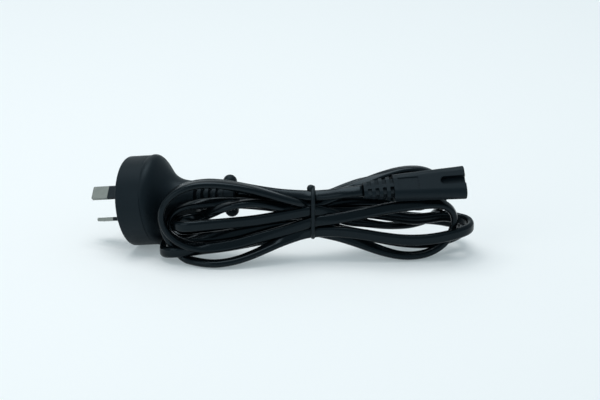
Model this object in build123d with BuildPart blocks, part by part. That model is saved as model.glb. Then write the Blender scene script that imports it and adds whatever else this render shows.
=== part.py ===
from build123d import *
import math
import os

# A two-pin mains lead, tied in a hank: round moulded plug, flat twin cord, figure-eight connector.
# Millimetres. X runs along the hank from plug to connector, Y away from the viewer, Z up, floor at Z = 0.

# Plug place: it stands on the front rim of its head, with the cord end raised on the hank
PLUG_FACE_X = -68.0
PLUG_FACE_Y = 8.5
PLUG_TURN = 20.0
PLUG_RISE = 10.0
PLUG_ROLL = 10.0

# Plug cover
HEAD_RADIUS = 20.5
HEAD_LENGTH = 12.2
HEAD_FRONT_EDGE = 0.8
HEAD_BACK_EDGE = 0.7
NECK_LENGTH = 33.0
NECK_END_RADIUS = 6.9
# Oval back of the plug, as (distance from the face, half depth, half height)
BACK_SECTIONS = [
    (11.0, 19.9, 20.3),
    (13.6, 19.3, 21.1),
    (16.8, 15.8, 19.0),
    (19.4, 12.6, 14.4),
    (21.6, 10.6, 11.6),
    (24.6, 9.0, 9.4),
    (28.8, 7.9, 8.1),
]
PLUG_RELIEF_LENGTH = 14.0
PLUG_RELIEF_END_RADIUS = 5.2
PLUG_RELIEF_SLOTS = 4
PLUG_RELIEF_SLOT = 1.9
PLUG_RELIEF_CORE = 3.7
PLUG_RELIEF_WEB = 2.6
PULL_HUB_RADIUS = 4.8
PULL_HUB_LENGTH = 6.0
PULL_HUB_OVERLAP = 1.0
PULL_BALL_RADIUS = 3.2
PULL_BALL_SPACING = 12.9
PULL_TURN = 25.0
PULL_BAR_RADIUS = 2.2

# Pins: two blades on a circle, each square to its radius
PIN_CIRCLE = 7.92
PIN_HALF_ANGLE = 60.0
PIN_WIDTH = 6.3
PIN_THICKNESS = 1.6
PIN_REACH = 17.06
PIN_TIP_CHAMFER = 0.45
SLEEVE_REACH = 9.0
SLEEVE_DEPTH = 1.5
SLEEVE_WALL = 0.35
BRIDGE_RADIUS = 12.5
BRIDGE_START = 2.5
BRIDGE_THICKNESS = 6.0
PIN_TAIL_WIDTH = 2.6

# Crimps, cores and sheath of the flat twin cord
CRIMP_RADIUS = 1.3
CRIMP_LENGTH = 5.5
CRIMP_GAP = 1.5
CRIMP_NECK = 1.8
CONDUCTOR_RADIUS = 0.55
CORE_RADIUS = 1.05
CORE_SPACING = 2.2
CORE_BEND = 3.0
CORD_WIDTH = 5.2
CORD_THICKNESS = 3.2
CORD_BEND_SHARE = 0.45
SHEATH_IN_PLUG = 8.0
SHEATH_IN_CONNECTOR = 6.0

# Connector
NOSE_WIDTH = 15.8
NOSE_THICKNESS = 7.6
NOSE_CORNER = 3.5
REAR_WIDTH = 12.0
REAR_THICKNESS = 8.2
REAR_CORNER = 3.2
CONNECTOR_LENGTH = 33.0
NOSE_EDGE = 0.5
WAIST_SLOT_WIDTH = 4.0
WAIST_SLOT_DEPTH = 2.4
WAIST_SLOT_LENGTH = 11.6
PANEL_LENGTH = 9.4
PANEL_WIDTH = 5.8
PANEL_DEPTH = 0.45
PANEL_FROM_REAR = 2.0
CONNECTOR_RELIEF_LENGTH = 13.6
CONNECTOR_RELIEF_START_WIDTH = 7.2
CONNECTOR_RELIEF_START_THICKNESS = 5.2
CONNECTOR_RELIEF_END_WIDTH = 10.6
CONNECTOR_RELIEF_END_THICKNESS = 7.2
CONNECTOR_RELIEF_CORNER = 2.2
CONNECTOR_RELIEF_SLOTS = 4
CONNECTOR_RELIEF_SLOT = 1.8
CONNECTOR_RELIEF_CORE_WIDTH = 7.4
CONNECTOR_RELIEF_CORE_THICKNESS = 4.2
CONNECTOR_RELIEF_SPINE = 1.8

# Contacts: rolled sleeves for pins 2.4 across
CONTACT_SPACING = 8.6
CONTACT_BORE_RADIUS = 1.22
CONTACT_WALL = 0.4
CONTACT_LENGTH = 13.0
CONTACT_SLIT = 0.7
CONTACT_RECESS = 1.5
CONTACT_MOUTH_RADIUS = 1.45
CONTACT_CRIMP_RADIUS = 0.95
CONTACT_BRIDGE_WALL = 0.3
CONTACT_BRIDGE_THICKNESS = 5.0

# Connector place: it lies on the hank with a broad side tipped towards the viewer
RELIEF_START = (37.4, -17.5, 34.6)
CONNECTOR_TURN = 8.0
CONNECTOR_RISE = 2.0
CONNECTOR_TIP = 47.0

# Hank, standing turns: rounded sections along X, as (x, y, z, height, width, lean away from the viewer)
LEFT_TURNS = [
    (-55.6, -17.6, 21.0, 12.0, 5.0, 0.0),
    (-52.4, -17.8, 20.4, 28.0, 9.0, 0.0),
    (-43.0, -18.0, 21.6, 35.0, 10.0, 0.0),
    (-25.0, -18.6, 22.6, 34.0, 9.6, 0.0),
    (-5.0, -17.2, 22.6, 27.0, 10.0, 0.0),
]
RIGHT_TURNS = [
    (81.2, -10.0, 16.0, 12.0, 5.0, 0.0),
    (78.4, -9.6, 16.6, 23.0, 8.0, 8.0),
    (71.0, -5.8, 18.6, 32.0, 10.0, 14.0),
    (55.0, -4.6, 20.4, 39.6, 10.0, 15.0),
    (35.0, -10.0, 21.0, 31.0, 11.0, 8.0),
]
# Hank, turns that lie on the floor: plan outlines, as (x, y, length, width, height)
LYING_TURNS = [
    (-28.5, -16.2, 55.0, 22.6, 8.2),
    (57.3, -3.0, 59.5, 29.0, 16.0),
]
LYING_TURN_EDGE = 3.0
TURN_CORNER_SHARE = 0.45
TIE_X = 14.6
TIE_Y = -12.8
TIE_Z = 22.4
WAIST_HEIGHT = 21.0
WAIST_WIDTH = 10.6
WAIST_CORNER = 4.8
WAIST_LENGTH = 6.0
TIE_THICKNESS = 1.9
TIE_ROUNDING = 0.9
TIE_KNOT_RADIUS = 1.8
TIE_KNOT_SHIFT = 1.0

# Loose stretches of cord, from a short straight past each fitting to the tie
STRAIGHT_PAST_PLUG = 7.2
STRAIGHT_PAST_CONNECTOR = 5.0
LEAD_OVER_TIE = 1.6
PLUG_LEAD_POINT = (-3.0, -12.6, 30.4)
PLUG_LEAD_Y = -10.2
CONNECTOR_LEAD_POINT = (24.0, -16.0, 32.4)
CONNECTOR_LEAD_Y = -14.2

os.makedirs("parts", exist_ok=True)


def write_piece(builder, name, seat=Plane.XY):
    """Move a finished piece to its seat, label it and write it."""
    builder.part = seat.from_local_coords(builder.part)
    builder.part.label = name
    export_step(builder.part, f"parts/{name}.step")


def cord_path(points):
    """Straight runs joined by arcs as large as the runs allow; prints the radii."""
    runs = [Vector(b) - Vector(a) for a, b in zip(points, points[1:])]
    radii = []
    for before, after in zip(runs, runs[1:]):
        half_turn = math.radians(before.get_angle(after)) / 2
        radii.append(CORD_BEND_SHARE * min(before.length, after.length) / math.tan(half_turn))
    print("cord radii", [round(r, 1) for r in radii], "runs", [round(r.length, 1) for r in runs])
    return points, radii


# Plug frame: Z from the face to the cord, X between the pins, turned to face the viewer
turn = math.radians(PLUG_TURN)
rise = math.radians(PLUG_RISE)
roll = math.radians(PLUG_ROLL)
plug_axis = Vector(math.cos(turn) * math.cos(rise), -math.sin(turn) * math.cos(rise), math.sin(rise))
plug_side = Vector(-math.sin(turn), -math.cos(turn), 0)
plug_down = plug_axis.cross(plug_side)
plug_seat = Plane(
    origin=(PLUG_FACE_X, PLUG_FACE_Y, HEAD_RADIUS * math.cos(rise)),
    x_dir=plug_side * math.cos(roll) + plug_down * math.sin(roll),
    z_dir=plug_axis,
)

# Connector frame: Z from the cord to the nose, X across its width, Y out of the broad side in view
connector_turn = math.radians(CONNECTOR_TURN)
connector_rise = math.radians(CONNECTOR_RISE)
connector_tip = math.radians(CONNECTOR_TIP)
connector_along = Vector(math.cos(connector_turn), math.sin(connector_turn), 0)
connector_side = Vector(math.sin(connector_turn), -math.cos(connector_turn), 0)
connector_axis = connector_along * math.cos(connector_rise) + Vector(0, 0, math.sin(connector_rise))
connector_up = connector_side.cross(connector_axis)
connector_face = connector_up * math.sin(connector_tip) + connector_side * math.cos(connector_tip)
connector_seat = Plane(
    origin=RELIEF_START,
    x_dir=connector_face.cross(connector_axis),
    z_dir=connector_axis,
)

# Stations along the plug, from its face
relief_end = NECK_LENGTH + PLUG_RELIEF_LENGTH
plug_end = relief_end + PULL_HUB_LENGTH - PULL_HUB_OVERLAP
sheath_start = plug_end - SHEATH_IN_PLUG
pull_centre = Vector(0, 0, plug_end - PULL_HUB_LENGTH / 2)
pull_turn = math.radians(PULL_TURN)
pull_reach = Vector(math.sin(pull_turn), math.cos(pull_turn), 0) * PULL_BALL_SPACING / 2
bridge_end = BRIDGE_START + BRIDGE_THICKNESS
crimp_start = bridge_end + CRIMP_NECK
crimp_end = crimp_start + CRIMP_LENGTH
core_start = crimp_end + CRIMP_GAP

# Stations along the connector, from the start of its relief
nose_end = CONNECTOR_RELIEF_LENGTH + CONNECTOR_LENGTH
contact_end = nose_end - CONTACT_RECESS
contact_start = contact_end - CONTACT_LENGTH
contact_crimp_start = contact_start - CRIMP_NECK - CRIMP_LENGTH
contact_radius = CONTACT_BORE_RADIUS + CONTACT_WALL
contact_bridge_width = CONTACT_SPACING + 2 * (contact_radius + CONTACT_BRIDGE_WALL)
contact_bridge_length = nose_end - WAIST_SLOT_LENGTH - CONTACT_BRIDGE_WALL - contact_start
connector_core_end = contact_crimp_start - CRIMP_GAP

waist_top = TIE_Z + WAIST_HEIGHT / 2


def pin_seat(side):
    """Plane of one blade: X along its thickness, Y along its width, origin on the plug's face."""
    angle = math.radians(side * PIN_HALF_ANGLE)
    outward = (math.cos(angle), math.sin(angle), 0)
    return Plane(origin=Vector(outward) * PIN_CIRCLE, x_dir=outward, z_dir=(0, 0, 1))


def make_pin(side):
    """One blade with its sleeved waist, tail and crimp barrel."""
    seat = pin_seat(side)
    with BuildPart() as pin:
        with BuildSketch(seat.offset(-PIN_REACH)):
            Rectangle(PIN_THICKNESS, PIN_WIDTH)
        extrude(amount=PIN_REACH + bridge_end)
        chamfer(pin.faces().sort_by(Axis.Z)[0].edges(), PIN_TIP_CHAMFER)
        with BuildSketch(seat.offset(-SLEEVE_REACH)):
            Rectangle(PIN_THICKNESS, PIN_WIDTH)
            Rectangle(PIN_THICKNESS - 2 * SLEEVE_WALL, PIN_WIDTH - 2 * SLEEVE_WALL, mode=Mode.SUBTRACT)
        extrude(amount=SLEEVE_REACH + SLEEVE_DEPTH, mode=Mode.SUBTRACT)
        with BuildSketch(seat.offset(bridge_end)):
            Rectangle(PIN_THICKNESS, PIN_TAIL_WIDTH)
        extrude(amount=CRIMP_NECK)
        with BuildSketch(seat.offset(crimp_start)):
            Circle(CRIMP_RADIUS)
        extrude(amount=CRIMP_LENGTH)
        with BuildSketch(seat.offset(crimp_start)):
            Circle(CONDUCTOR_RADIUS)
        extrude(amount=CRIMP_LENGTH, mode=Mode.SUBTRACT)
    return pin


def make_sleeve(side):
    """Insulating sleeve, flush with the blade that it goes round."""
    with BuildPart() as sleeve:
        with BuildSketch(pin_seat(side).offset(-SLEEVE_REACH)):
            Rectangle(PIN_THICKNESS, PIN_WIDTH)
            Rectangle(PIN_THICKNESS - 2 * SLEEVE_WALL, PIN_WIDTH - 2 * SLEEVE_WALL, mode=Mode.SUBTRACT)
        extrude(amount=SLEEVE_REACH + SLEEVE_DEPTH)
    return sleeve


def make_wire(points, end_seat, radius):
    """A round wire along filleted runs, from the plane that it starts on."""
    with BuildPart() as wire:
        with BuildLine() as path:
            FilletPolyline(*points, radius=CORE_BEND)
        with BuildSketch(end_seat):
            Circle(radius)
        sweep(path=path.wires()[0])
    return wire


def make_core(points, bare_points, end_seat):
    """Core insulation round its conductor, and the conductor with its bare end."""
    conductor = make_wire(bare_points, end_seat, CONDUCTOR_RADIUS)
    core = make_wire(points, end_seat, CORE_RADIUS)
    with BuildPart() as insulation:
        add(core.part)
        add(conductor.part, mode=Mode.SUBTRACT)
    return insulation, conductor


def plug_core_points(side, last_station):
    """Core route in the plug, from the sheath's end to a station behind its pin."""
    at_pin = pin_seat(side).origin
    beside = side * CORE_SPACING / 2
    spread = (NECK_LENGTH - core_start) / 4
    return [
        (0, beside, sheath_start),
        (0, beside, NECK_LENGTH),
        (at_pin.X, at_pin.Y, core_start + spread),
        (at_pin.X, at_pin.Y, last_station),
    ]


def connector_core_points(side, last_station):
    """Core route in the connector, from the sheath's end to a station behind its contact."""
    at_contact = side * CONTACT_SPACING / 2
    beside = side * CORE_SPACING / 2
    spread = (connector_core_end - SHEATH_IN_CONNECTOR) / 4
    return [
        (beside, 0, SHEATH_IN_CONNECTOR),
        (beside, 0, SHEATH_IN_CONNECTOR + spread),
        (at_contact, 0, connector_core_end - spread),
        (at_contact, 0, last_station),
    ]


# Pins, sleeves and wires of the plug
live_pin = make_pin(1)
neutral_pin = make_pin(-1)
live_pin_sleeve = make_sleeve(1)
neutral_pin_sleeve = make_sleeve(-1)
sheath_face = Plane.XY.offset(sheath_start)
plug_live_core, plug_live_conductor = make_core(
    plug_core_points(1, core_start),
    plug_core_points(1, crimp_start),
    Plane(origin=(0, CORE_SPACING / 2, sheath_start), z_dir=(0, 0, -1)),
)
plug_neutral_core, plug_neutral_conductor = make_core(
    plug_core_points(-1, core_start),
    plug_core_points(-1, crimp_start),
    Plane(origin=(0, -CORE_SPACING / 2, sheath_start), z_dir=(0, 0, -1)),
)

# Bridge that holds the blades
with BuildPart() as plug_pin_bridge:
    with BuildSketch(Plane.XY.offset(BRIDGE_START)):
        Circle(BRIDGE_RADIUS)
    extrude(amount=BRIDGE_THICKNESS)
    add(live_pin.part, mode=Mode.SUBTRACT)
    add(neutral_pin.part, mode=Mode.SUBTRACT)

plug_inside = [
    plug_pin_bridge,
    live_pin,
    neutral_pin,
    live_pin_sleeve,
    neutral_pin_sleeve,
    plug_live_core,
    plug_neutral_core,
    plug_live_conductor,
    plug_neutral_conductor,
]

# Plug cover: round head, oval flared back, slotted relief and finger pull, moulded round what it holds
with BuildPart() as plug_body:
    with BuildSketch():
        Circle(HEAD_RADIUS)
    extrude(amount=HEAD_LENGTH)
    fillet(plug_body.faces().sort_by(Axis.Z)[0].edges(), HEAD_FRONT_EDGE)
    fillet(plug_body.faces().sort_by(Axis.Z)[-1].edges(), HEAD_BACK_EDGE)
    for station, half_depth, half_height in BACK_SECTIONS:
        with BuildSketch(Plane.XY.offset(station)):
            Ellipse(half_depth, half_height)
    with BuildSketch(Plane.XY.offset(NECK_LENGTH)):
        Circle(NECK_END_RADIUS)
    loft()
    with BuildSketch(Plane.XY.offset(NECK_LENGTH)):
        Circle(NECK_END_RADIUS)
    with BuildSketch(Plane.XY.offset(relief_end)):
        Circle(PLUG_RELIEF_END_RADIUS)
    loft(ruled=True)
    slot_pitch = PLUG_RELIEF_LENGTH / PLUG_RELIEF_SLOTS
    for slot in range(PLUG_RELIEF_SLOTS):
        with BuildSketch(Plane.XY.offset(NECK_LENGTH + slot * slot_pitch)):
            Circle(NECK_END_RADIUS * 2)
            Circle(PLUG_RELIEF_CORE, mode=Mode.SUBTRACT)
            Rectangle(NECK_END_RADIUS * 4, PLUG_RELIEF_WEB, mode=Mode.SUBTRACT)
        extrude(amount=PLUG_RELIEF_SLOT, mode=Mode.SUBTRACT)
    with BuildSketch(Plane.XY.offset(plug_end)):
        Circle(PULL_HUB_RADIUS)
    extrude(amount=-PULL_HUB_LENGTH)
    with BuildSketch(Plane(origin=pull_centre - pull_reach, z_dir=pull_reach)):
        Circle(PULL_BAR_RADIUS)
    extrude(amount=PULL_BALL_SPACING)
    with Locations(pull_centre - pull_reach, pull_centre + pull_reach):
        Sphere(PULL_BALL_RADIUS)
    with BuildSketch(sheath_face):
        SlotOverall(CORD_WIDTH, CORD_THICKNESS, rotation=90)
    extrude(amount=plug_end - sheath_start, mode=Mode.SUBTRACT)
    for piece in plug_inside:
        add(piece.part, mode=Mode.SUBTRACT)


def contact_place(side, station):
    """Plane across one contact's axis at a station along the connector."""
    return Plane(origin=(side * CONTACT_SPACING / 2, 0, station), z_dir=(0, 0, 1))


def make_contact(side):
    """Rolled socket contact with a slit, a neck and a crimp barrel."""
    with BuildPart() as contact:
        with BuildSketch(contact_place(side, contact_start)):
            Circle(contact_radius)
        extrude(amount=CONTACT_LENGTH)
        with BuildSketch(contact_place(side, contact_start + CONTACT_WALL)):
            Circle(CONTACT_BORE_RADIUS)
        extrude(amount=CONTACT_LENGTH - CONTACT_WALL, mode=Mode.SUBTRACT)
        with BuildSketch(contact_place(side, contact_start + contact_radius)):
            with Locations((0, contact_radius)):
                Rectangle(CONTACT_SLIT, 2 * contact_radius)
        extrude(amount=CONTACT_LENGTH, mode=Mode.SUBTRACT)
        with BuildSketch(contact_place(side, contact_start)):
            Circle(CONTACT_CRIMP_RADIUS)
        extrude(amount=-CRIMP_NECK - CRIMP_LENGTH)
        with BuildSketch(contact_place(side, contact_crimp_start)):
            Circle(CONDUCTOR_RADIUS)
        extrude(amount=CRIMP_LENGTH, mode=Mode.SUBTRACT)
    return contact


# Contacts and wires of the connector
live_contact = make_contact(1)
neutral_contact = make_contact(-1)
connector_live_core, connector_live_conductor = make_core(
    connector_core_points(1, connector_core_end),
    connector_core_points(1, contact_crimp_start + CRIMP_LENGTH),
    Plane(origin=(CORE_SPACING / 2, 0, SHEATH_IN_CONNECTOR), z_dir=(0, 0, 1)),
)
connector_neutral_core, connector_neutral_conductor = make_core(
    connector_core_points(-1, connector_core_end),
    connector_core_points(-1, contact_crimp_start + CRIMP_LENGTH),
    Plane(origin=(-CORE_SPACING / 2, 0, SHEATH_IN_CONNECTOR), z_dir=(0, 0, 1)),
)

# Bridge that holds the contacts
with BuildPart() as contact_bridge:
    with BuildSketch(Plane.XY.offset(contact_start)):
        SlotOverall(contact_bridge_width, CONTACT_BRIDGE_THICKNESS)
    extrude(amount=contact_bridge_length)
    for side in (1, -1):
        with BuildSketch(contact_place(side, contact_start)):
            Circle(contact_radius)
        extrude(amount=contact_bridge_length, mode=Mode.SUBTRACT)

# Connector cover: tapered body with a slotted nose, slotted relief, moulded round what it holds
with BuildPart() as connector_body:
    with BuildSketch(Plane.XY.offset(CONNECTOR_RELIEF_LENGTH)):
        RectangleRounded(REAR_WIDTH, REAR_THICKNESS, REAR_CORNER)
    with BuildSketch(Plane.XY.offset(nose_end)):
        RectangleRounded(NOSE_WIDTH, NOSE_THICKNESS, NOSE_CORNER)
    loft()
    fillet(connector_body.faces().sort_by(Axis.Z)[-1].edges(), NOSE_EDGE)
    for side in (1, -1):
        with BuildSketch(Plane.XY.offset(nose_end)):
            with Locations((0, side * NOSE_THICKNESS / 2)):
                Rectangle(WAIST_SLOT_WIDTH, 2 * WAIST_SLOT_DEPTH)
        extrude(amount=-WAIST_SLOT_LENGTH + WAIST_SLOT_WIDTH / 2, mode=Mode.SUBTRACT)
        with BuildSketch(Plane.XZ.offset(-side * (NOSE_THICKNESS / 2 - WAIST_SLOT_DEPTH))):
            with Locations((0, nose_end - WAIST_SLOT_LENGTH + WAIST_SLOT_WIDTH / 2)):
                Circle(WAIST_SLOT_WIDTH / 2)
        extrude(amount=-side * 2 * WAIST_SLOT_DEPTH, mode=Mode.SUBTRACT)
        with BuildSketch(Plane.XZ.offset(-side * (REAR_THICKNESS / 2 - PANEL_DEPTH))):
            with Locations((0, CONNECTOR_RELIEF_LENGTH + PANEL_FROM_REAR + PANEL_LENGTH / 2)):
                Rectangle(PANEL_WIDTH, PANEL_LENGTH)
        extrude(amount=-side * REAR_THICKNESS, mode=Mode.SUBTRACT)
        with BuildSketch(contact_place(side, contact_end)):
            Circle(CONTACT_MOUTH_RADIUS)
        extrude(amount=CONTACT_RECESS, mode=Mode.SUBTRACT)
        with BuildSketch(contact_place(side, contact_start)):
            Circle(contact_radius)
        extrude(amount=CONTACT_LENGTH, mode=Mode.SUBTRACT)
    with BuildSketch():
        RectangleRounded(
            CONNECTOR_RELIEF_START_WIDTH, CONNECTOR_RELIEF_START_THICKNESS, CONNECTOR_RELIEF_CORNER
        )
    with BuildSketch(Plane.XY.offset(CONNECTOR_RELIEF_LENGTH)):
        RectangleRounded(CONNECTOR_RELIEF_END_WIDTH, CONNECTOR_RELIEF_END_THICKNESS, CONNECTOR_RELIEF_CORNER)
    loft()
    relief_pitch = CONNECTOR_RELIEF_LENGTH / CONNECTOR_RELIEF_SLOTS
    for slot in range(CONNECTOR_RELIEF_SLOTS):
        with BuildSketch(Plane.XY.offset((slot + 1) * relief_pitch - CONNECTOR_RELIEF_SLOT)):
            Rectangle(2 * CONNECTOR_RELIEF_END_WIDTH, 2 * CONNECTOR_RELIEF_END_WIDTH)
            Rectangle(CONNECTOR_RELIEF_CORE_WIDTH, CONNECTOR_RELIEF_CORE_THICKNESS, mode=Mode.SUBTRACT)
            Rectangle(CONNECTOR_RELIEF_SPINE, 2 * CONNECTOR_RELIEF_END_WIDTH, mode=Mode.SUBTRACT)
        extrude(amount=CONNECTOR_RELIEF_SLOT, mode=Mode.SUBTRACT)
    with BuildSketch():
        SlotOverall(CORD_WIDTH, CORD_THICKNESS)
    extrude(amount=SHEATH_IN_CONNECTOR, mode=Mode.SUBTRACT)
    for piece in (
        contact_bridge,
        live_contact,
        neutral_contact,
        connector_live_core,
        connector_neutral_core,
        connector_live_conductor,
        connector_neutral_conductor,
    ):
        add(piece.part, mode=Mode.SUBTRACT)

# Loose stretches of the flat cord
plug_lead_stations = (sheath_start, plug_end + STRAIGHT_PAST_PLUG)
plug_lead_route, plug_lead_radii = cord_path(
    [plug_seat.from_local_coords((0, 0, station)) for station in plug_lead_stations]
    + [PLUG_LEAD_POINT, (TIE_X - LEAD_OVER_TIE, PLUG_LEAD_Y, waist_top - CORD_WIDTH)]
)
with BuildPart() as plug_lead:
    with BuildLine() as plug_lead_line:
        FilletPolyline(*plug_lead_route, radius=plug_lead_radii)
    with BuildSketch(plug_seat.offset(sheath_start)):
        SlotOverall(CORD_WIDTH, CORD_THICKNESS, rotation=90)
    sweep(path=plug_lead_line.wires()[0])

connector_lead_stations = (SHEATH_IN_CONNECTOR, -STRAIGHT_PAST_CONNECTOR)
connector_lead_route, connector_lead_radii = cord_path(
    [connector_seat.from_local_coords((0, 0, station)) for station in connector_lead_stations]
    + [CONNECTOR_LEAD_POINT, (TIE_X + LEAD_OVER_TIE, CONNECTOR_LEAD_Y, waist_top - CORD_WIDTH / 2)]
)
with BuildPart() as connector_lead:
    with BuildLine() as connector_lead_line:
        FilletPolyline(*connector_lead_route, radius=connector_lead_radii)
    with BuildSketch(connector_seat.offset(SHEATH_IN_CONNECTOR)):
        SlotOverall(CORD_WIDTH, CORD_THICKNESS)
    sweep(path=connector_lead_line.wires()[0])

cord_section = CORD_THICKNESS * (CORD_WIDTH - CORD_THICKNESS) + math.pi * CORD_THICKNESS**2 / 4
for lead, line in ((plug_lead, plug_lead_line), (connector_lead, connector_lead_line)):
    length = line.wires()[0].length
    share = lead.part.volume / (cord_section * length)
    print("lead length", round(length, 1), "volume share", round(share, 4))


def hank_section(x, y, z):
    """Plane across the hank, with Y to its right and Z up."""
    return Plane(origin=(x, y, z), x_dir=(0, 1, 0), z_dir=(1, 0, 0))


waist_start = TIE_X - WAIST_LENGTH / 2
waist_end = TIE_X + WAIST_LENGTH / 2

# Turns that lie on the floor
with BuildPart() as lying_turns:
    for x, y, length, width, height in LYING_TURNS:
        with BuildSketch():
            with Locations((x, y)):
                SlotOverall(length, width)
        extrude(amount=height)
    fillet(lying_turns.faces().filter_by(Axis.Z).edges(), LYING_TURN_EDGE)

# Outer shape of the hank: standing turns each side of the tied waist, lying turns, round the two leads
with BuildPart() as cord_hank:
    for turns, waist_x in ((LEFT_TURNS, waist_start), (RIGHT_TURNS, waist_end)):
        for x, y, z, height, width, lean in turns:
            with BuildSketch(hank_section(x, y, z)):
                RectangleRounded(width, height, TURN_CORNER_SHARE * min(width, height), rotation=-lean)
        with BuildSketch(hank_section(waist_x, TIE_Y, TIE_Z)):
            RectangleRounded(WAIST_WIDTH, WAIST_HEIGHT, WAIST_CORNER)
        loft()
    with BuildSketch(hank_section(waist_start, TIE_Y, TIE_Z)):
        RectangleRounded(WAIST_WIDTH, WAIST_HEIGHT, WAIST_CORNER)
    extrude(amount=WAIST_LENGTH)
    add(lying_turns.part)
    add(plug_lead.part, mode=Mode.SUBTRACT)
    add(connector_lead.part, mode=Mode.SUBTRACT)

# Tie round the waist
with BuildPart() as hank_tie:
    with BuildSketch(hank_section(TIE_X - TIE_THICKNESS / 2, TIE_Y, TIE_Z)):
        RectangleRounded(
            WAIST_WIDTH + 2 * TIE_THICKNESS, WAIST_HEIGHT + 2 * TIE_THICKNESS, WAIST_CORNER + TIE_THICKNESS
        )
        RectangleRounded(WAIST_WIDTH, WAIST_HEIGHT, WAIST_CORNER, mode=Mode.SUBTRACT)
    extrude(amount=TIE_THICKNESS)
    fillet(hank_tie.faces().filter_by(Axis.X).edges(), TIE_ROUNDING)
    with Locations((TIE_X - TIE_KNOT_SHIFT, TIE_Y, waist_top + TIE_THICKNESS / 2)):
        Sphere(TIE_KNOT_RADIUS)
    with BuildSketch(hank_section(waist_start, TIE_Y, TIE_Z)):
        RectangleRounded(WAIST_WIDTH, WAIST_HEIGHT, WAIST_CORNER)
    extrude(amount=WAIST_LENGTH, mode=Mode.SUBTRACT)

write_piece(plug_body, "plug_body", plug_seat)
write_piece(plug_pin_bridge, "plug_pin_bridge", plug_seat)
write_piece(live_pin, "live_pin", plug_seat)
write_piece(neutral_pin, "neutral_pin", plug_seat)
write_piece(live_pin_sleeve, "live_pin_sleeve", plug_seat)
write_piece(neutral_pin_sleeve, "neutral_pin_sleeve", plug_seat)
write_piece(plug_live_core, "plug_live_core", plug_seat)
write_piece(plug_neutral_core, "plug_neutral_core", plug_seat)
write_piece(plug_live_conductor, "plug_live_conductor", plug_seat)
write_piece(plug_neutral_conductor, "plug_neutral_conductor", plug_seat)
write_piece(plug_lead, "plug_lead")
write_piece(cord_hank, "cord_hank")
write_piece(connector_lead, "connector_lead")
write_piece(hank_tie, "hank_tie")
write_piece(connector_body, "connector_body", connector_seat)
write_piece(contact_bridge, "contact_bridge", connector_seat)
write_piece(live_contact, "live_contact", connector_seat)
write_piece(neutral_contact, "neutral_contact", connector_seat)
write_piece(connector_live_core, "connector_live_core", connector_seat)
write_piece(connector_neutral_core, "connector_neutral_core", connector_seat)
write_piece(connector_live_conductor, "connector_live_conductor", connector_seat)
write_piece(connector_neutral_conductor, "connector_neutral_conductor", connector_seat)
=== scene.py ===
import math

import bpy
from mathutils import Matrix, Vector


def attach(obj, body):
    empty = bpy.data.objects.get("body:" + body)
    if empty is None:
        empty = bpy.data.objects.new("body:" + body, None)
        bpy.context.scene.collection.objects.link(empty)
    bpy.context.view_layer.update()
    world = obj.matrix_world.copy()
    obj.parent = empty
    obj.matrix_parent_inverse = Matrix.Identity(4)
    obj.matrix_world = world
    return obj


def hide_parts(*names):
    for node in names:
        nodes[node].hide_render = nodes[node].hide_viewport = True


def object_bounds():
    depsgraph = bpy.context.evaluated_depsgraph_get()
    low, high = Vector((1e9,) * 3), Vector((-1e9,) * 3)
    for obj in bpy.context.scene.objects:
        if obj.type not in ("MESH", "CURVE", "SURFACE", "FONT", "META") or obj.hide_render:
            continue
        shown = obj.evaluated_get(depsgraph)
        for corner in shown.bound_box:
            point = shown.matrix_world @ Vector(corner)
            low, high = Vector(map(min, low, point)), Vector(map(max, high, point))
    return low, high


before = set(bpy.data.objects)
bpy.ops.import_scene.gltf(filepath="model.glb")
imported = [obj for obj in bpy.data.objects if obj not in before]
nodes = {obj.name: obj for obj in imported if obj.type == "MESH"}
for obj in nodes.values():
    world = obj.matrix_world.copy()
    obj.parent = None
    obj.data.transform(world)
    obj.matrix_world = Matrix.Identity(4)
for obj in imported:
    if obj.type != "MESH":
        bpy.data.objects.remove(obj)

cad_low, cad_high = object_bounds()

MM = 0.001

# Flat twin cord: width and thickness of its sheath in metres
CORD_WIDTH = 5.2 * MM
CORD_THICKNESS = 3.2 * MM

# Rings of the cord between two points of its route, and sides of each of its round edges
CORD_STEPS = 8
ROUND_STEPS = 8

# Route of the cord from the plug to the connector: x, y and z in millimetres, and the lean of its broad
# side in degrees. A lean of 0 stands the cord on its edge and 90 lays it flat. Every list but the last
# ends at the tie.
PLUG_STRAND = [
    (-19.9, -9.0, 29.2, -6),
    (-13.4, -11.3, 30.2, -4),
    (-5.0, -11.8, 30.2, 0),
    (5.0, -10.6, 29.0, 4),
    (14.6, -9.5, 27.6, 8),
]
HIDDEN_RIGHT_TURN = [
    (22.0, -8.0, 28.8, 10),
    (29.2, -5.4, 31.0, 25),
    (36.0, -3.0, 32.8, 45),
    (44.2, -0.6, 33.8, 70),
    (52.0, 1.4, 33.8, 90),
    (59.0, 2.4, 33.6, 90),
    (64.6, 3.0, 32.8, 90),
    (68.3, 3.4, 29.6, 90),
    (69.5, 3.7, 25.0, 90),
    (67.8, 3.9, 20.8, 90),
    (63.6, 4.0, 18.8, 87),
    (58.2, 3.9, 20.0, 72),
    (53.0, 3.3, 21.4, 52),
    (46.6, 1.8, 22.2, 30),
    (38.0, -1.0, 23.4, 20),
    (27.0, -5.4, 24.2, 10),
    (14.6, -9.4, 22.4, 0),
]
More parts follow.
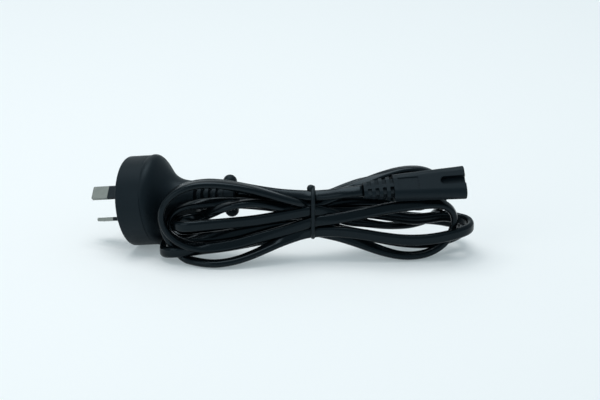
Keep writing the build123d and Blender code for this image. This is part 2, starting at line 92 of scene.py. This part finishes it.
INNER_LEFT_TURN = [
    (6.0, -11.6, 23.4, 0),
    (-2.0, -13.8, 25.6, 0),
    (-10.0, -15.0, 27.0, 5),
    (-18.0, -15.4, 27.8, 15),
    (-26.0, -15.1, 28.0, 35),
    (-34.5, -14.3, 27.3, 60),
    (-41.0, -13.9, 26.0, 78),
    (-46.6, -13.5, 24.0, 90),
    (-50.2, -13.2, 20.4, 90),
    (-51.2, -13.3, 16.0, 90),
    (-49.2, -13.9, 11.9, 90),
    (-45.2, -14.8, 9.8, 85),
    (-37.0, -15.8, 10.8, 55),
    (-25.0, -16.2, 12.4, 25),
    (-13.0, -15.4, 14.6, 10),
    (0.0, -14.0, 16.4, 0),
    (14.6, -12.8, 16.8, 0),
]
LOW_RIGHT_TURN = [
    (20.0, -10.8, 15.2, 0),
    (28.0, -8.8, 12.0, 0),
    (38.0, -9.2, 10.2, 0),
    (49.0, -11.0, 8.4, 0),
    (59.0, -11.4, 7.1, 0),
    (68.4, -8.6, 6.0, 0),
    (78.0, -3.6, 6.6, 0),
    (84.0, 3.0, 7.6, 0),
    (82.0, 10.0, 8.4, 0),
    (73.0, 14.2, 9.0, 0),
    (64.2, 13.6, 9.8, 0),
    (55.6, 10.8, 11.6, 0),
    (46.0, 6.4, 15.2, 0),
    (36.0, 1.0, 18.4, 0),
    (25.0, -5.4, 18.8, 0),
    (14.6, -9.4, 17.2, 0),
]
FLOOR_LEFT_TURN = [
    (0.0, -9.6, 16.4, 0),
    (-12.0, -8.0, 14.6, 0),
    (-24.0, -6.4, 12.4, 0),
    (-36.0, -4.8, 10.6, 0),
    (-45.6, -4.4, 8.8, 0),
    (-51.0, -5.8, 6.8, 0),
    (-53.4, -9.6, 4.9, 0),
    (-53.8, -14.0, 4.0, 0),
    (-52.0, -17.8, 4.8, 0),
    (-47.8, -20.2, 5.8, 0),
    (-42.0, -19.6, 6.2, 0),
    (-34.0, -17.4, 6.5, 0),
    (-25.0, -16.4, 7.2, 0),
    (-14.0, -15.4, 9.0, 0),
    (0.0, -13.8, 11.4, 10),
    (14.6, -11.6, 13.3, 35),
]
STANDING_RIGHT_TURN = [
    (20.0, -13.2, 12.6, 20),
    (26.9, -13.8, 11.2, 10),
    (36.0, -14.6, 8.4, 30),
    (44.6, -15.0, 4.9, 60),
    (53.6, -14.8, 2.2, 85),
    (61.6, -13.8, 1.7, 90),
    (68.6, -12.2, 2.9, 90),
    (75.4, -10.2, 7.0, 90),
    (79.0, -9.2, 14.2, 90),
    (79.0, -9.4, 20.6, 90),
    (74.8, -11.0, 25.6, 75),
    (68.0, -13.0, 26.9, 45),
    (59.6, -14.6, 26.6, 30),
    (50.0, -15.6, 25.6, 25),
    (41.0, -16.2, 23.8, 20),
    (33.0, -16.6, 22.2, 18),
    (24.6, -16.8, 20.6, 15),
    (14.6, -16.3, 19.4, 5),
]
FRONT_LEFT_TURN = [
    (4.0, -17.8, 16.0, 5),
    (-8.5, -19.6, 13.0, 10),
    (-20.0, -21.4, 10.2, 20),
    (-30.0, -22.4, 8.8, 35),
    (-38.5, -22.6, 8.8, 55),
    (-46.2, -21.6, 11.0, 75),
    (-51.4, -20.6, 15.2, 90),
    (-54.2, -20.2, 20.6, 90),
    (-54.2, -20.2, 25.6, 90),
    (-52.0, -20.2, 30.6, 90),
    (-47.0, -20.2, 35.2, 90),
    (-40.0, -20.2, 38.0, 90),
    (-32.0, -20.2, 38.8, 85),
    (-23.0, -20.2, 38.0, 82),
    (-14.0, -20.4, 36.4, 88),
    (-5.0, -20.4, 33.7, 95),
    (4.8, -19.4, 30.3, 95),
    (14.6, -12.8, 26.3, 50),
]
TALL_RIGHT_TURN = [
    (22.0, -11.0, 28.2, 10),
    (30.0, -8.4, 31.0, 30),
    (38.5, -5.8, 34.2, 55),
    (47.4, -4.0, 37.4, 75),
    (56.5, -2.6, 39.4, 90),
    (65.0, -1.4, 38.8, 90),
    (71.2, -0.6, 35.2, 90),
    (73.8, 0.4, 29.6, 90),
    (74.6, 3.2, 22.8, 90),
    (72.6, 7.0, 16.4, 90),
    (68.6, 8.8, 11.8, 90),
    (63.4, 8.0, 9.8, 97),
    (57.4, 4.6, 9.6, 105),
    (48.0, -1.4, 11.6, 105),
    (38.5, -8.0, 15.5, 90),
    (29.2, -12.4, 18.4, 45),
    (22.0, -13.6, 22.4, 10),
    (14.6, -16.3, 24.8, 0),
]
LYING_LEFT_TURN = [
    (4.0, -17.6, 23.1, 0),
    (-8.5, -19.2, 21.2, 0),
    (-18.5, -20.6, 20.4, 0),
    (-29.0, -22.8, 20.3, 0),
    (-37.0, -24.6, 20.2, 0),
    (-44.2, -24.8, 19.6, 0),
    (-48.8, -19.7, 18.6, 0),
    (-47.9, -13.3, 17.9, 0),
    (-42.4, -10.2, 18.0, 6),
    (-36.6, -12.2, 19.8, 30),
    (-31.6, -17.0, 23.7, 58),
    (-24.0, -20.8, 28.3, 82),
    (-14.0, -20.6, 29.9, 92),
    (-4.0, -17.4, 27.7, 68),
    (5.0, -14.5, 24.4, 12),
    (14.6, -12.8, 21.7, 0),
]
LYING_RIGHT_TURN = [
    (26.0, -9.6, 21.0, 0),
    (38.0, -5.2, 19.7, 0),
    (49.0, -2.0, 17.0, 0),
    (60.0, 0.8, 13.8, 0),
    (68.0, 2.2, 14.2, 0),
    (75.0, 2.9, 15.2, 0),
    (81.0, 2.2, 14.0, 0),
    (85.4, -1.4, 14.2, 0),
    (87.0, -6.6, 13.4, 0),
    (84.6, -11.8, 13.2, 0),
    (78.0, -15.6, 12.4, 0),
    (68.0, -17.8, 11.0, 0),
    (56.5, -18.4, 10.8, 0),
    (46.0, -18.0, 12.0, 0),
    (36.0, -17.8, 13.8, 0),
    (25.0, -17.0, 14.8, 0),
    (14.6, -15.4, 13.9, -8),
]
LAST_LEFT_TURN = [
    (8.7, -16.8, 13.2, 10),
    (1.9, -18.7, 11.4, 40),
    (-4.9, -20.5, 8.7, 65),
    (-11.7, -22.5, 5.9, 80),
    (-20.0, -24.6, 3.4, 90),
    (-28.0, -25.4, 2.2, 90),
    (-34.0, -24.4, 2.0, 90),
    (-39.2, -21.6, 1.9, 90),
    (-44.4, -17.8, 2.0, 90),
    (-49.2, -15.0, 6.8, 90),
    (-53.6, -14.4, 14.0, 90),
    (-54.6, -14.4, 22.2, 90),
    (-51.4, -14.4, 30.0, 90),
    (-44.5, -14.6, 35.2, 85),
    (-35.0, -15.0, 37.4, 75),
    (-25.0, -15.6, 36.8, 60),
    (-14.0, -16.0, 34.6, 54),
    (-3.0, -15.3, 32.4, 52),
    (6.0, -14.9, 31.4, 51),
    (14.6, -14.3, 30.9, 51),
]
CONNECTOR_STRAND = [
    (22.5, -16.4, 32.2, 50),
    (30.0, -18.2, 34.1, 48),
    (37.4, -17.5, 34.6, 47),
]
CORD_ROUTE = (
    PLUG_STRAND
    + HIDDEN_RIGHT_TURN
    + INNER_LEFT_TURN
    + LOW_RIGHT_TURN
    + FLOOR_LEFT_TURN
    + STANDING_RIGHT_TURN
    + FRONT_LEFT_TURN
    + TALL_RIGHT_TURN
    + LYING_LEFT_TURN
    + LYING_RIGHT_TURN
    + LAST_LEFT_TURN
    + CONNECTOR_STRAND
)

# Surface noise: detail of the slow mottling and of the fine grain, the grain's share in the roughness,
# the range of the noise that is spread over the roughness, and the height of the grain
MOTTLE_DETAIL = 4.0
GRAIN_DETAIL = 2.0
GRAIN_SHARE = 0.4
NOISE_LOW = 0.3
NOISE_HIGH = 0.7
GRAIN_HEIGHT = 0.1 * MM

# Cool tint of the light that the black plastics reflect
COOL_SHEEN = (0.66, 0.87, 1.0)

# Floor: half its side in metres, the share of its look that glows, and the colour of that glow
FLOOR_REACH = 4.0
FLOOR_GLOW_SHARE = 0.25
FLOOR_GLOW = (0.79, 0.915, 0.955)

# Soft boxes: name, place, aim and side in millimetres, and power in watts
SOFT_BOXES = [
    ("overhead soft box", (-150, 90, 1050), (0, 0, 0), 780, 7.35),
    ("rear soft box", (-200, 1400, 620), (0, 0, 20), 1000, 1.0),
    ("front left soft box", (-900, -900, 600), (0, 0, 20), 900, 2.6),
]
LAMP_COLOUR = (1.0, 0.99, 0.98)

# Even light of the room
ROOM_COLOUR = (0.75, 0.92, 1.0)
ROOM_STRENGTH = 0.48

# Camera: place and aim in millimetres, and lens, for the photograph's frame of 600 by 400
CAMERA_PLACE = (8.7, -1789.8, 675.0)
CAMERA_AIM = (8.7, -10.0, 27.3)
CAMERA_LENS = 250.0


def vector(x, y, z):
    """A point given in millimetres, in metres."""
    return Vector((x, y, z)) * MM


def aim(thing, place, target):
    """Put a lamp or the camera in its place, turned to its target, both in millimetres."""
    thing.location = vector(*place)
    thing.rotation_euler = (vector(*target) - vector(*place)).to_track_quat("-Z", "Y").to_euler()
    bpy.context.collection.objects.link(thing)


def spline_line(points):
    """Points along a smooth spline that has these control points."""
    curve = bpy.data.curves.new("route", "CURVE")
    curve.dimensions = "3D"
    spline = curve.splines.new("NURBS")
    spline.points.add(len(points) - 1)
    for control, point in zip(spline.points, points):
        control.co = (*point, 1)
    spline.order_u = 3
    spline.use_endpoint_u = True
    spline.resolution_u = CORD_STEPS
    route = bpy.data.objects.new("route", curve)
    mesh = bpy.data.meshes.new_from_object(route)
    line = [vertex.co.copy() for vertex in mesh.vertices]
    bpy.data.objects.remove(route)
    bpy.data.curves.remove(curve)
    bpy.data.meshes.remove(mesh)
    return line


def flat_section(width, thickness):
    """Outline of the flat cord, round at both edges, as (along the width, along the thickness)."""
    radius = thickness / 2
    reach = width / 2 - radius
    outline = []
    for side in (1, -1):
        for step in range(ROUND_STEPS + 1):
            angle = math.pi * step / ROUND_STEPS - math.pi / 2
            outline.append((side * (reach + radius * math.cos(angle)), side * radius * math.sin(angle)))
    return outline


def mesh_piece(name, vertices, faces, material):
    """A new smooth mesh object that rides on the part's one body."""
    mesh = bpy.data.meshes.new(name)
    mesh.from_pydata(vertices, [], faces)
    mesh.materials.append(material)
    for polygon in mesh.polygons:
        polygon.use_smooth = True
    piece = bpy.data.objects.new(name, mesh)
    bpy.context.collection.objects.link(piece)
    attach(piece, "root")
    return piece


def flat_cord(name, route, material):
    """The whole cord as one flat tube with closed ends, and the line of its ring centres."""
    middle_points = []
    edge_points = []
    for x, y, z, lean in route:
        angle = math.radians(lean)
        broad = Vector((0, math.sin(angle), math.cos(angle)))
        middle_points.append(vector(x, y, z))
        edge_points.append(vector(x, y, z) + broad * CORD_WIDTH / 2)
    middle = spline_line(middle_points)
    edge = spline_line(edge_points)
    outline = flat_section(CORD_WIDTH, CORD_THICKNESS)
    vertices = []
    for index, centre in enumerate(middle):
        before = middle[max(index - 1, 0)]
        after = middle[min(index + 1, len(middle) - 1)]
        along = (after - before).normalized()
        wide = edge[index] - centre
        wide = (wide - along * wide.dot(along)).normalized()
        thin = along.cross(wide)
        vertices += [centre + wide * w + thin * t for w, t in outline]
    count = len(outline)
    faces = []
    for ring in range(len(middle) - 1):
        for corner in range(count):
            here = ring * count + corner
            beside = ring * count + (corner + 1) % count
            faces.append((here, beside, beside + count, here + count))
    faces.append(tuple(reversed(range(count))))
    faces.append(tuple(range(len(vertices) - count, len(vertices))))
    return mesh_piece(name, vertices, faces, material), middle


def surface_variation():
    """Node group: slow mottling of colour and roughness, and a fine grain for a bump."""
    group = bpy.data.node_groups.new("Surface Variation", "ShaderNodeTree")
    interface = group.interface
    for name, kind in (
        ("Dark Color", "NodeSocketColor"),
        ("Light Color", "NodeSocketColor"),
        ("Mottle Scale", "NodeSocketFloat"),
        ("Grain Scale", "NodeSocketFloat"),
        ("Low Roughness", "NodeSocketFloat"),
        ("High Roughness", "NodeSocketFloat"),
    ):
        interface.new_socket(name, in_out="INPUT", socket_type=kind)
    interface.new_socket("Color", in_out="OUTPUT", socket_type="NodeSocketColor")
    interface.new_socket("Roughness", in_out="OUTPUT", socket_type="NodeSocketFloat")
    interface.new_socket("Height", in_out="OUTPUT", socket_type="NodeSocketFloat")
    tree = group.nodes
    link = group.links.new
    given = tree.new("NodeGroupInput")
    result = tree.new("NodeGroupOutput")
    place = tree.new("ShaderNodeTexCoord")
    mottle = tree.new("ShaderNodeTexNoise")
    mottle.inputs["Detail"].default_value = MOTTLE_DETAIL
    grain = tree.new("ShaderNodeTexNoise")
    grain.inputs["Detail"].default_value = GRAIN_DETAIL
    link(place.outputs["Object"], mottle.inputs["Vector"])
    link(place.outputs["Object"], grain.inputs["Vector"])
    link(given.outputs["Mottle Scale"], mottle.inputs["Scale"])
    link(given.outputs["Grain Scale"], grain.inputs["Scale"])
    colour = tree.new("ShaderNodeMix")
    colour.data_type = "RGBA"
    link(mottle.outputs["Fac"], colour.inputs["Factor"])
    link(given.outputs["Dark Color"], colour.inputs["A"])
    link(given.outputs["Light Color"], colour.inputs["B"])
    both = tree.new("ShaderNodeMix")
    both.data_type = "FLOAT"
    both.inputs["Factor"].default_value = GRAIN_SHARE
    link(mottle.outputs["Fac"], both.inputs["A"])
    link(grain.outputs["Fac"], both.inputs["B"])
    rough = tree.new("ShaderNodeMapRange")
    rough.inputs["From Min"].default_value = NOISE_LOW
    rough.inputs["From Max"].default_value = NOISE_HIGH
    link(both.outputs["Result"], rough.inputs["Value"])
    link(given.outputs["Low Roughness"], rough.inputs["To Min"])
    link(given.outputs["High Roughness"], rough.inputs["To Max"])
    link(colour.outputs["Result"], result.inputs["Color"])
    link(rough.outputs["Result"], result.inputs["Roughness"])
    link(grain.outputs["Fac"], result.inputs["Height"])
    return group


variation = surface_variation()


def finish(name, dark, light, mottle, grain, roughness, bump, specular=0.5, tint=(1, 1, 1), metallic=0.0):
    """A material whose colour and roughness vary between two values, with a fine grain."""
    material = bpy.data.materials.new(name)
    material.use_nodes = True
    tree = material.node_tree
    shader = tree.nodes["Principled BSDF"]
    shader.inputs["Metallic"].default_value = metallic
    shader.inputs["Specular IOR Level"].default_value = specular
    shader.inputs["Specular Tint"].default_value = (*tint, 1)
    surface = tree.nodes.new("ShaderNodeGroup")
    surface.node_tree = variation
    surface.inputs["Dark Color"].default_value = (*dark, 1)
    surface.inputs["Light Color"].default_value = (*light, 1)
    surface.inputs["Mottle Scale"].default_value = mottle
    surface.inputs["Grain Scale"].default_value = grain
    surface.inputs["Low Roughness"].default_value = roughness[0]
    surface.inputs["High Roughness"].default_value = roughness[1]
    relief = tree.nodes.new("ShaderNodeBump")
    relief.inputs["Strength"].default_value = bump
    relief.inputs["Distance"].default_value = GRAIN_HEIGHT
    tree.links.new(surface.outputs["Color"], shader.inputs["Base Color"])
    tree.links.new(surface.outputs["Roughness"], shader.inputs["Roughness"])
    tree.links.new(surface.outputs["Height"], relief.inputs["Height"])
    tree.links.new(relief.outputs["Normal"], shader.inputs["Normal"])
    return material


def pale_floor():
    """The floor's material: it takes the object's shadow, and a share of it glows to keep that light."""
    material = finish(
        "pale floor",
        dark=(0.92, 0.92, 0.92),
        light=(0.94, 0.94, 0.94),
        mottle=3,
        grain=300,
        roughness=(0.75, 0.85),
        bump=0.0,
        specular=0.2,
    )
    tree = material.node_tree
    ray = tree.nodes.new("ShaderNodeLightPath")
    seen = tree.nodes.new("ShaderNodeMath")
    seen.operation = "MAXIMUM"
    tree.links.new(ray.outputs["Is Camera Ray"], seen.inputs[0])
    tree.links.new(ray.outputs["Is Glossy Ray"], seen.inputs[1])
    through = tree.nodes.new("ShaderNodeMath")
    through.operation = "MAXIMUM"
    tree.links.new(seen.outputs["Value"], through.inputs[0])
    tree.links.new(ray.outputs["Is Transmission Ray"], through.inputs[1])
    share = tree.nodes.new("ShaderNodeMath")
    share.operation = "MULTIPLY"
    share.inputs[1].default_value = FLOOR_GLOW_SHARE
    tree.links.new(through.outputs["Value"], share.inputs[0])
    glow = tree.nodes.new("ShaderNodeEmission")
    glow.inputs["Color"].default_value = (*FLOOR_GLOW, 1)
    glow.inputs["Strength"].default_value = 1.0
    both = tree.nodes.new("ShaderNodeMixShader")
    tree.links.new(share.outputs["Value"], both.inputs["Fac"])
    tree.links.new(tree.nodes["Principled BSDF"].outputs["BSDF"], both.inputs[1])
    tree.links.new(glow.outputs["Emission"], both.inputs[2])
    tree.links.new(both.outputs["Shader"], tree.nodes["Material Output"].inputs["Surface"])
    return material


moulding = finish(
    "satin moulding",
    dark=(0.002, 0.0042, 0.006),
    light=(0.003, 0.006, 0.0085),
    mottle=120,
    grain=2600,
    roughness=(0.42, 0.56),
    bump=0.25,
    specular=0.22,
    tint=COOL_SHEEN,
)
sheath = finish(
    "cord sheath",
    dark=(0.0012, 0.0024, 0.0032),
    light=(0.002, 0.0038, 0.005),
    mottle=160,
    grain=3000,
    roughness=(0.15, 0.24),
    bump=0.06,
    specular=0.22,
    tint=COOL_SHEEN,
)
tie_plastic = finish(
    "tie plastic",
    dark=(0.002, 0.0035, 0.0045),
    light=(0.004, 0.006, 0.0075),
    mottle=300,
    grain=3000,
    roughness=(0.45, 0.6),
    bump=0.15,
    specular=0.3,
    tint=COOL_SHEEN,
)
sleeve_plastic = finish(
    "sleeve plastic",
    dark=(0.003, 0.004, 0.005),
    light=(0.005, 0.0065, 0.0075),
    mottle=300,
    grain=2600,
    roughness=(0.5, 0.65),
    bump=0.2,
    specular=0.3,
    tint=COOL_SHEEN,
)
bridge_plastic = finish(
    "bridge plastic",
    dark=(0.02, 0.02, 0.022),
    light=(0.035, 0.035, 0.037),
    mottle=300,
    grain=2200,
    roughness=(0.5, 0.65),
    bump=0.2,
)
nickel = finish(
    "dull nickel",
    dark=(0.19, 0.21, 0.195),
    light=(0.25, 0.27, 0.255),
    mottle=400,
    grain=3500,
    roughness=(0.34, 0.48),
    bump=0.12,
    metallic=1.0,
)
contact_metal = finish(
    "tinned contact",
    dark=(0.52, 0.50, 0.44),
    light=(0.64, 0.62, 0.56),
    mottle=500,
    grain=3500,
    roughness=(0.3, 0.45),
    bump=0.12,
    metallic=1.0,
)
live_insulation = finish(
    "brown insulation",
    dark=(0.07, 0.028, 0.012),
    light=(0.10, 0.04, 0.018),
    mottle=400,
    grain=2600,
    roughness=(0.4, 0.55),
    bump=0.1,
)
neutral_insulation = finish(
    "blue insulation",
    dark=(0.015, 0.06, 0.20),
    light=(0.022, 0.085, 0.27),
    mottle=400,
    grain=2600,
    roughness=(0.4, 0.55),
    bump=0.1,
)
copper = finish(
    "bare copper",
    dark=(0.62, 0.27, 0.14),
    light=(0.78, 0.36, 0.20),
    mottle=600,
    grain=4000,
    roughness=(0.25, 0.4),
    bump=0.1,
    metallic=1.0,
)

# Finish of every CAD node that the cord doesn't take the place of
node_finishes = {
    "plug_body": moulding,
    "connector_body": moulding,
    "hank_tie": tie_plastic,
    "live_pin": nickel,
    "neutral_pin": nickel,
    "live_pin_sleeve": sleeve_plastic,
    "neutral_pin_sleeve": sleeve_plastic,
    "plug_pin_bridge": bridge_plastic,
    "contact_bridge": bridge_plastic,
    "live_contact": contact_metal,
    "neutral_contact": contact_metal,
    "plug_live_core": live_insulation,
    "connector_live_core": live_insulation,
    "plug_neutral_core": neutral_insulation,
    "connector_neutral_core": neutral_insulation,
    "plug_live_conductor": copper,
    "plug_neutral_conductor": copper,
    "connector_live_conductor": copper,
    "connector_neutral_conductor": copper,
}
for name, material in node_finishes.items():
    mesh = nodes[name].data
    mesh.materials.clear()
    mesh.materials.append(material)

# The cord, in place of its three CAD stand-ins
cord, cord_line = flat_cord("flat_cord", CORD_ROUTE, sheath)
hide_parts("cord_hank", "plug_lead", "connector_lead")

# Pale floor under the hank
floor_corners = [(x * FLOOR_REACH, y * FLOOR_REACH, 0) for x, y in ((-1, -1), (1, -1), (1, 1), (-1, 1))]
floor_mesh = bpy.data.meshes.new("floor")
floor_mesh.from_pydata(floor_corners, [], [(0, 1, 2, 3)])
floor = bpy.data.objects.new("floor", floor_mesh)
floor.location.z = cad_low[2]
bpy.context.collection.objects.link(floor)
floor_mesh.materials.append(pale_floor())

# Soft boxes, each a square lamp
for name, place, target, side, power in SOFT_BOXES:
    light = bpy.data.lights.new(name, "AREA")
    light.shape = "SQUARE"
    light.size = side * MM
    light.energy = power
    light.color = LAMP_COLOUR
    aim(bpy.data.objects.new(name, light), place, target)

room = bpy.data.worlds.new("studio")
room.use_nodes = True
background = room.node_tree.nodes["Background"]
background.inputs["Color"].default_value = (*ROOM_COLOUR, 1)
background.inputs["Strength"].default_value = ROOM_STRENGTH
bpy.context.scene.world = room

camera_data = bpy.data.cameras.new("camera")
camera_data.lens = CAMERA_LENS
camera = bpy.data.objects.new("camera", camera_data)
aim(camera, CAMERA_PLACE, CAMERA_AIM)
bpy.context.scene.camera = camera
bpy.context.scene.view_settings.view_transform = "Standard"
